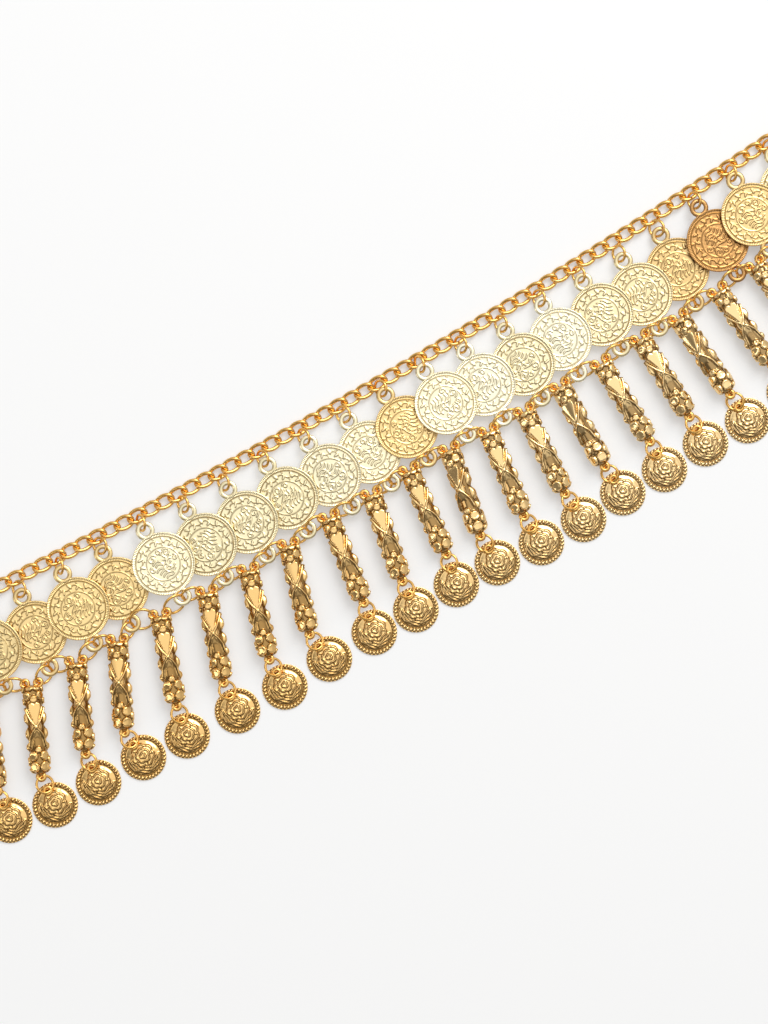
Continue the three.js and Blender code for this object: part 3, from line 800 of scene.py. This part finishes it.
def metal(name, tones, settings, shade_line_width=0.12, milled=False):
    """Plated metal. Each tone has its position from pale to deep, and its raised and painted shade colours.
    The settings are for the group of painted shade and handling marks, and the shade line width is
    half that of the dark lines painted as shade along the struck lines, in mm."""
    material = bpy.data.materials.new(name)
    material.use_nodes = True
    tree = material.node_tree
    shader = tree.nodes["Principled BSDF"].inputs
    shader["Metallic"].default_value = 1.0
    wear_and_shade = node(tree, "ShaderNodeGroup")
    wear_and_shade.node_tree = WEAR_AND_SHADE
    for key, value in settings.items():
        wear_and_shade.inputs[key].default_value = value
    for column, key in ((1, "Raised colour"), (2, "Recess shade colour")):
        wear_and_shade.inputs[key].default_value = (*tones[0][column], 1)
        if len(tones) > 1:
            stops = [(tone[0], tone[column]) for tone in tones]
            feed(tree, wear_and_shade.inputs[key], colour_ramp(tree, attribute(tree, "tone"), stops))
    # Painted shade: the colour turns dark along the struck lines, where the outline is near 0
    outline = attribute(tree, "outline")
    away_from_shade_lines = map_range(tree, calculate(tree, "ABSOLUTE", outline), (0.0, shade_line_width), (0, 1))
    relief = calculate(tree, "MULTIPLY", attribute(tree, "relief"), away_from_shade_lines)
    height = map_range(tree, outline, (-LINE_SLOPE, LINE_SLOPE), (1, 0))
    if milled:
        beads = milling(tree)
        # Painted shade between the milling beads
        relief = calculate(tree, "MULTIPLY", relief, map_range(tree, beads, (-0.6, 0.1), (0.3, 1)))
        height = calculate(tree, "ADD", height, beads)
    feed(tree, wear_and_shade.inputs["Relief"], relief)
    feed(tree, shader["Base Color"], wear_and_shade.outputs["Colour"])
    feed(tree, shader["Roughness"], wear_and_shade.outputs["Roughness"])
    normal = bumped(tree, height, LINE_HEIGHT, LINE_BUMP, wear_and_shade.outputs["Normal"])
    feed(tree, shader["Normal"], normal)
    return material


# Dark colours painted as shade in recesses and along struck lines; the cloudy tone also leans to them
COIN_RECESS_SHADE = (0.24, 0.12, 0.015)
COIN_GOLD = metal(
    "coin_gold",
    [(0.0, (1.0, 0.94, 0.71), (0.66, 0.52, 0.26)), (0.2, (1.0, 0.885, 0.56), COIN_RECESS_SHADE),
     (0.5, (0.93, 0.7, 0.33), COIN_RECESS_SHADE), (1.0, (0.52, 0.285, 0.105), (0.16, 0.07, 0.01))],
    {"Recess shade strength": 0.82, "Cloud size": 220.0, "Cloud strength": 0.06, "Smoothness": 0.25, "Dulling": 0.1,
     "Scratch depth": 0.2}, 0.13, milled=True)
DROP_RECESS_SHADE = (0.15, 0.06, 0.004)
DROP_GOLD = metal(
    "drop_gold", [(0.0, (1.0, 0.73, 0.36), DROP_RECESS_SHADE), (1.0, (0.92, 0.6, 0.235), DROP_RECESS_SHADE)],
    {"Recess shade strength": 0.95, "Cloud size": 260.0, "Cloud strength": 0.14, "Smoothness": 0.04, "Dulling": 0.12,
     "Scratch depth": 0.12}, 0.18)
CHAIN_GOLD = metal(
    "chain_gold", [(0.0, (0.88, 0.53, 0.16), (0.42, 0.19, 0.03))],
    {"Recess shade strength": 0.0, "Cloud size": 300.0, "Cloud strength": 0.12, "Smoothness": 0.12, "Dulling": 0.12,
     "Scratch depth": 0.15})


# Repeated wire work
LINK_STEPS = 24
RING_STEPS = 22
WIRE_SIDES = 8


def twisted_oval(group, curve, inputs):
    """A round curve of radius 1 drawn out to a link's length and width, and twisted."""
    link = group.links.new
    split = node(group, "ShaderNodeSeparateXYZ")
    link(node(group, "GeometryNodeInputPosition").outputs["Position"], split.inputs["Vector"])
    bent = node(group, "ShaderNodeCombineXYZ")
    for axis, key in (("X", "Length"), ("Y", "Width")):
        bare = calculate(group, "SUBTRACT", inputs[key], inputs["Wire"])
        scaled = calculate(group, "MULTIPLY", split.outputs[axis], bare)
        link(calculate(group, "MULTIPLY", scaled, 0.5), bent.inputs[axis])
    product = calculate(group, "MULTIPLY", split.outputs["X"], split.outputs["Y"])
    double = calculate(group, "MULTIPLY", product, 2.0)
    link(calculate(group, "MULTIPLY", double, inputs["Twist"]), bent.inputs["Z"])
    shape = node(group, "GeometryNodeSetPosition")
    link(curve, shape.inputs["Geometry"])
    link(bent.outputs["Vector"], shape.inputs["Position"])
    return shape.outputs["Geometry"]


def carried(group, name, kind):
    """What each point carries under a name."""
    made = node(group, "GeometryNodeInputNamedAttribute", data_type=kind)
    made.inputs["Name"].default_value = name
    return made.outputs["Attribute"]


def wire_group(name, link_shaped):
    """Closed wire rings set on points that carry a turn and a size; curb links are twisted ovals."""
    group = bpy.data.node_groups.new(name, "GeometryNodeTree")
    group.interface.new_socket(name="Geometry", in_out="OUTPUT", socket_type="NodeSocketGeometry")
    add_input(group, "Points", "NodeSocketGeometry")
    for key, default in (("Wire", 0.001), ("Length", 0.006), ("Width", 0.004), ("Twist", 0.0005)):
        add_input(group, key, "NodeSocketFloat", default)
    add_input(group, "Metal", "NodeSocketMaterial")
    link = group.links.new
    inputs = node(group, "NodeGroupInput").outputs
    outputs = node(group, "NodeGroupOutput").inputs
    loop = node(group, "GeometryNodeCurvePrimitiveCircle")
    loop.inputs["Resolution"].default_value = LINK_STEPS if link_shaped else RING_STEPS
    loop.inputs["Radius"].default_value = 1.0
    curve = loop.outputs["Curve"]
    if link_shaped:
        curve = twisted_oval(group, curve, inputs)
    rotation = node(group, "FunctionNodeEulerToRotation")
    link(carried(group, "turn", "FLOAT_VECTOR"), rotation.inputs["Euler"])
    spread = node(group, "GeometryNodeInstanceOnPoints")
    link(inputs["Points"], spread.inputs["Points"])
    link(curve, spread.inputs["Instance"])
    link(rotation.outputs["Rotation"], spread.inputs["Rotation"])
    link(carried(group, "size", "FLOAT"), spread.inputs["Scale"])
    real = node(group, "GeometryNodeRealizeInstances")
    link(spread.outputs["Instances"], real.inputs["Geometry"])
    section = node(group, "GeometryNodeCurvePrimitiveCircle")
    section.inputs["Resolution"].default_value = WIRE_SIDES
    link(calculate(group, "MULTIPLY", inputs["Wire"], 0.5), section.inputs["Radius"])
    body = node(group, "GeometryNodeCurveToMesh")
    link(real.outputs["Geometry"], body.inputs["Curve"])
    link(section.outputs["Curve"], body.inputs["Profile Curve"])
    smooth_wire = node(group, "GeometryNodeSetShadeSmooth")
    link(body.outputs["Mesh"], smooth_wire.inputs["Geometry"])
    coat = node(group, "GeometryNodeSetMaterial")
    link(smooth_wire.outputs["Geometry"], coat.inputs["Geometry"])
    link(inputs["Metal"], coat.inputs["Material"])
    link(coat.outputs["Geometry"], outputs["Geometry"])
    return group


LINK_GROUP = wire_group("curb_links", True)
RING_GROUP = wire_group("jump_rings", False)


def wire_piece(name, group, places, wire, replaces=(), link_size=(0, 0, 0)):
    """One mesh of links or rings in the chain's gold, one at each (middle, turn matrix, radius), in mm."""
    middles, turns, radii = zip(*places)
    points = bpy.data.meshes.new(name)
    points.from_pydata(((np.array(middles) + SHIFT) * METRES).tolist(), [], [])
    angles = np.array([Matrix(turn.tolist()).to_euler() for turn in turns])
    points.attributes.new("turn", "FLOAT_VECTOR", "POINT").data.foreach_set("vector", angles.ravel())
    scale = 1.0 if group == LINK_GROUP else METRES
    sizes = [scale * radius for radius in radii]
    points.attributes.new("size", "FLOAT", "POINT").data.foreach_set("value", sizes)
    piece = bpy.data.objects.new(name, points)
    bpy.context.scene.collection.objects.link(piece)
    modifier = piece.modifiers.new("wire", "NODES")
    modifier.node_group = group
    length, width, twist = (METRES * size for size in link_size)
    values = {"Wire": wire * METRES, "Length": length, "Width": width, "Twist": twist, "Metal": CHAIN_GOLD}
    for item in group.interface.items_tree:
        if item.in_out == "INPUT" and item.name in values:
            modifier[item.identifier] = values[item.name]
    depsgraph = bpy.context.evaluated_depsgraph_get()
    made = bpy.data.meshes.new_from_object(piece.evaluated_get(depsgraph), depsgraph=depsgraph)
    piece.modifiers.remove(modifier)
    piece.data = made
    made.name = name
    return register(piece, replaces)


def ring_towards(start, end, radius, tilt):
    """Middle, turn and radius of a ring that starts at one point and reaches towards another."""
    along = unit(end - start)
    side = unit(np.cross([0, 0, 1.0], along))
    lift = np.cross(along, side)
    across = side * math.cos(math.radians(tilt)) + lift * math.sin(math.radians(tilt))
    turn = np.stack([along, across, np.cross(along, across)], axis=1)
    return start + along * radius, turn, radius


def tilt_above_floor(height, radius):
    """The tilt in degrees that keeps a ring's lower side off the floor."""
    return math.degrees(math.asin(min((height - RING_WIRE / 2 - RING_ABOVE_FLOOR) / radius, STEEPEST_RING)))


# The pieces
def struck_coin(pattern_turn):
    """A coin with its eyelets above and below, and its pattern turned."""
    cosine, sine = math.cos(pattern_turn), math.sin(pattern_turn)

    def turned_pattern(x, y):
        return coin_pattern(cosine * x + sine * y, cosine * y - sine * x)

    coin = struck_disc(COIN_RADIUS, COIN_CELLS, turned_pattern, COIN_EDGE)
    wire = (EYELET_RADIUS - EYELET_HOLE) / 2
    for side in (-1, 1):
        coin.add(*wire_loop(EYELET_RADIUS - wire, wire, (0, side * EYELET_OFFSET, 0), steps=32, flat=0.5))
    return coin


def build_coins():
    coins = [struck_coin(math.radians(turn)) for turn in COIN_PATTERN_TURNS]
    for index, place in enumerate(COIN_PLACES):
        name = f"coin_{index + 1:02d}"
        placed = coins[index % len(coins)].placed(place["turn"], place["centre"])
        placed.piece(f"struck_{name}", COIN_GOLD, "coin_gold", [name], place["tone"])


def build_drops():
    charm = struck_disc(CHARM_RADIUS, CHARM_CELLS, charm_pattern, CHARM_EDGE)
    hole = (0, CHARM_HOLE_OFFSET, CHARM_LOOP_HEIGHT)
    charm_loop = Shape().add(*wire_loop(EAR_RADIUS, EAR_WIRE_RADIUS, hole))
    for index, place in enumerate(drop_places()):
        name = f"drop_{index + 1:02d}"
        turn, ears, lean = place["turn"], place["ears"], place["charm_lean"]
        # Painted shade: the drops' gold deepens towards the left end
        tone = min(max((FIRST_PALE_DROP - index) / DROPS_TO_PALE, 0), 1)
        bar = drop_bar(place["spin"]).placed(turn, ears)
        bar.piece(f"bar_of_{name}", DROP_GOLD, "drop_gold", [name], tone)
        drop_loops().placed(turn, ears).piece(f"loops_of_{name}", CHAIN_GOLD, "chain_gold")
        down = np.array([-math.sin(lean), -math.cos(lean), 0])
        foot = np.array([0, -FOOT_LOOP_DEPTH, 0])
        at = turn @ (foot + down * CHARM_DEPTH) + ears
        charm_turn = turn @ turned("Z", -lean)
        charm.placed(charm_turn, at).piece(f"small_coin_of_{name}", DROP_GOLD, "drop_gold", tone=tone)
        charm_loop.placed(charm_turn, at).piece(f"small_coin_loop_of_{name}", CHAIN_GOLD, "chain_gold")
        wire_piece(f"rings_of_{name}", RING_GROUP, drop_rings(place, foot, down), RING_WIRE)


def drop_rings(place, foot, down):
    """The two side rings that hang a drop between its coins, and the foot ring with the small coin."""
    rings = []
    for side, ear, eyelet in zip((-1, 1), EARS, place["eyelets"]):
        radius = (np.linalg.norm(eyelet - ear) + SIDE_RING_BEYOND_HOLES) / 2
        tilt = min(SIDE_RING_TILT, tilt_above_floor((ear[2] + eyelet[2]) / 2, radius))
        rings.append(ring_towards(ear, eyelet, radius, tilt if side > 0 else 180 - tilt))
    loop = foot + np.array([0, FOOT_LOOP_WIRE_RADIUS, FOOT_RING_TOP])
    hole = foot + down * (CHARM_DEPTH - CHARM_HOLE_OFFSET)
    hole[2] = FOOT_RING_BOTTOM
    radius = (np.linalg.norm(hole - loop) + FOOT_RING_BEYOND_LOOPS) / 2
    rings.append(ring_towards(loop, hole, radius, FOOT_RING_TILT * place["ring_side"]))
    turn_drop, ears = place["turn"], place["ears"]
    return [(turn_drop @ middle + ears, turn_drop @ turn, radius) for middle, turn, radius in rings]


def build_chain():
    """The curb links of each stretch, and the rings that hang the coins from the front."""
    for index, (name, links, _) in enumerate(STRETCHES):
        places = []
        for link_index in range(links):
            x, y, heading = on_stretch(index, (link_index + 0.5) * LINK_PITCH)
            places.append((np.array([x, y, CHAIN_HEIGHT]), turned("Z", heading), 1.0))
        link_size = (LINK_LENGTH, LINK_WIDTH, LINK_TWIST)
        wire_piece(f"links_of_{name}", LINK_GROUP, places, LINK_WIRE, [name], link_size)
    rings = []
    for place in COIN_PLACES:
        upper = place["centre"] - place["down"] * (TOP_RING_TO_COIN + TOP_RING_RADIUS)
        lower = place["centre"] - place["down"] * (TOP_RING_TO_COIN - TOP_RING_RADIUS)
        upper[2] = TOP_RING_SEAT
        tilt = tilt_above_floor((upper[2] + lower[2]) / 2, TOP_RING_RADIUS)
        rings.append(ring_towards(upper, lower, TOP_RING_RADIUS, tilt))
    wire_piece("coin_rings", RING_GROUP, rings, RING_WIRE)


def hook_path():
    """The hook's wire: round its eye, along the shank, round the bend and back to the flared tip."""
    around = np.linspace(*HOOK_EYE_ANGLES, 22)
    points = [(HOOK_EYE_RADIUS * math.cos(a), HOOK_EYE_RADIUS * math.sin(a)) for a in around]
    shank_end = HOOK_EYE_RADIUS + HOOK_SHANK
    after_eye, before_bend = HOOK_SHANK_GAPS
    points += [(x, 0) for x in np.linspace(HOOK_EYE_RADIUS + after_eye, shank_end - before_bend, 8)]
    radius = HOOK_BEND_RADIUS
    bend = np.linspace(0, math.pi, 14)
    points += [(shank_end + radius * math.sin(a), radius * (1 - math.cos(a))) for a in bend]
    for share, flare in ((0.35, 0), (0.7, 0.1), (1, HOOK_TIP_FLARE)):
        points.append((shank_end - HOOK_RETURN * share, 2 * radius + flare))
    return [(x, y, HOOK_WIRE / 2) for x, y in points]


def joining_ring(eye_radius, size):
    """The thin ring that joins an end of the chain to the hook or the end ring."""
    radius, beyond = size
    return wire_loop(radius, JOINING_WIRE_RADIUS, (-eye_radius - beyond, 0, JOINING_HEIGHT), steps=30)


def build_fastening():
    reach = (SEAM_GAP + RING_WIRE) / 2 + 2 * JOINING_REACH
    hook_at = advance(STARTS[0], -reach - HOOK_EYE_RADIUS, 0)
    hook = Shape().add(*tube(hook_path(), HOOK_WIRE / 2, 12))
    hook.add(*joining_ring(HOOK_EYE_RADIUS, HOOK_JOINING_RING))
    hook = hook.placed(turned("Z", STARTS[0][2] + math.pi), np.array([*hook_at[:2], 0]))
    hook.piece("wire_hook", CHAIN_GOLD, "chain_gold", ["hook"])
    end_at = advance(STARTS[-1], reach + END_RING_MIDDLE, 0)
    half_wire = END_RING_WIRE / 2
    ring = Shape().add(*wire_loop(END_RING_MIDDLE, half_wire, (0, 0, half_wire), steps=48, sides=12))
    ring.add(*joining_ring(END_RING_MIDDLE, END_JOINING_RING))
    ring = ring.placed(turned("Z", end_at[2]), np.array([*end_at[:2], 0]))
    ring.piece("plain_end_ring", CHAIN_GOLD, "chain_gold", ["end_ring"])


build_coins()
build_drops()
build_chain()
build_fastening()


# Studio
BELT_RISE = math.radians(31)
VIEW_HEIGHT = 294.9
LENS = 100.0
SENSOR = 36.0
PAPER = (0.56, 0.565, 0.57, 1)
PAPER_GLOW = 0.325
PAPER_REACH = 1.6
PAPER_LEVEL = -0.00005
TENT_STRENGTH = 1.2
# Towards the lit side of the tent, and how bright each side is from the horizon at 0 to overhead at 1
LIT_SIDE = (0.82, 0.57, 0)
DARK_SIDE = [(0.0, 0.45), (0.15, 0.3), (0.5, 0.2), (0.8, 0.2), (0.9, 0.6), (0.96, 1.0)]
BRIGHT_SIDE = [(0.0, 0.6), (0.15, 0.5), (0.5, 0.6), (0.7, 0.85), (0.84, 1.0), (1.0, 1.0)]


def build_floor():
    """Paper on a light table, which keeps the shadows faint."""
    mesh = bpy.data.meshes.new("paper")
    signs = ((-1, -1), (1, -1), (1, 1), (-1, 1))
    corners = [(x * PAPER_REACH, y * PAPER_REACH, PAPER_LEVEL) for x, y in signs]
    mesh.from_pydata(corners, [], [(0, 1, 2, 3)])
    floor = bpy.data.objects.new("paper", mesh)
    bpy.context.scene.collection.objects.link(floor)
    material = bpy.data.materials.new("paper")
    material.use_nodes = True
    shader = material.node_tree.nodes["Principled BSDF"]
    shader.inputs["Base Color"].default_value = PAPER
    shader.inputs["Roughness"].default_value = 0.8
    shader.inputs["Specular IOR Level"].default_value = 0.1
    shader.inputs["Emission Color"].default_value = (1, 1, 0.995, 1)
    shader.inputs["Emission Strength"].default_value = PAPER_GLOW
    mesh.materials.append(material)


def build_camera():
    data = bpy.data.cameras.new("camera")
    data.lens, data.sensor_width = LENS, SENSOR
    data.clip_start, data.clip_end = 0.01, 20
    camera = bpy.data.objects.new("camera", data)
    camera.location = (SHIFT[0] * METRES, SHIFT[1] * METRES, VIEW_HEIGHT * METRES * LENS / SENSOR)
    camera.rotation_euler = (0, 0, -BELT_RISE)
    bpy.context.scene.collection.objects.link(camera)
    bpy.context.scene.camera = camera


def softbox(name, direction, distance, width, height, power):
    """A rectangular lamp that faces the middle of the scene."""
    data = bpy.data.lights.new(name, "AREA")
    data.shape = "RECTANGLE"
    data.size, data.size_y = width, height
    data.energy = power
    lamp = bpy.data.objects.new(name, data)
    aim = unit(np.array(direction, float))
    lamp.location = aim * distance
    lamp.rotation_mode = "QUATERNION"
    lamp.rotation_quaternion = Vector(aim).to_track_quat("Z", "Y")
    bpy.context.scene.collection.objects.link(lamp)


def warm_grey(level):
    """A grey of the tent, the warmer the darker it is."""
    return (level, level * (0.93 + 0.07 * level), level * (0.84 + 0.16 * level))


def build_light():
    """A tent that is bright overhead and darker round the sides, most of all opposite its lit side,
    with two softboxes in it."""
    world = bpy.data.worlds.new("studio")
    bpy.context.scene.world = world
    world.use_nodes = True
    tree = world.node_tree
    background = tree.nodes["Background"].inputs
    background["Strength"].default_value = TENT_STRENGTH
    direction = node(tree, "ShaderNodeTexCoord").outputs["Generated"]
    split = node(tree, "ShaderNodeSeparateXYZ")
    feed(tree, split.inputs["Vector"], direction)
    facing = calculate(tree, "DOT_PRODUCT", direction, LIT_SIDE, kind="ShaderNodeVectorMath")
    dark, bright = (
        colour_ramp(tree, split.outputs["Z"], [(z, warm_grey(level)) for z, level in levels])
        for levels in (DARK_SIDE, BRIGHT_SIDE))
    sides = blend(tree, map_range(tree, facing, (-0.45, 0.45), (0, 1)), dark, bright)
    feed(tree, background["Color"], sides)
    softbox("right_softbox", (0.7, 0.45, 0.85), distance=1.2, width=0.75, height=0.75, power=9.0)
    softbox("left_softbox", (-0.9, 0.1, 0.5), distance=1.2, width=0.25, height=0.7, power=1.2)


build_floor()
build_camera()
build_light()
bpy.context.scene.view_settings.view_transform = "Standard"
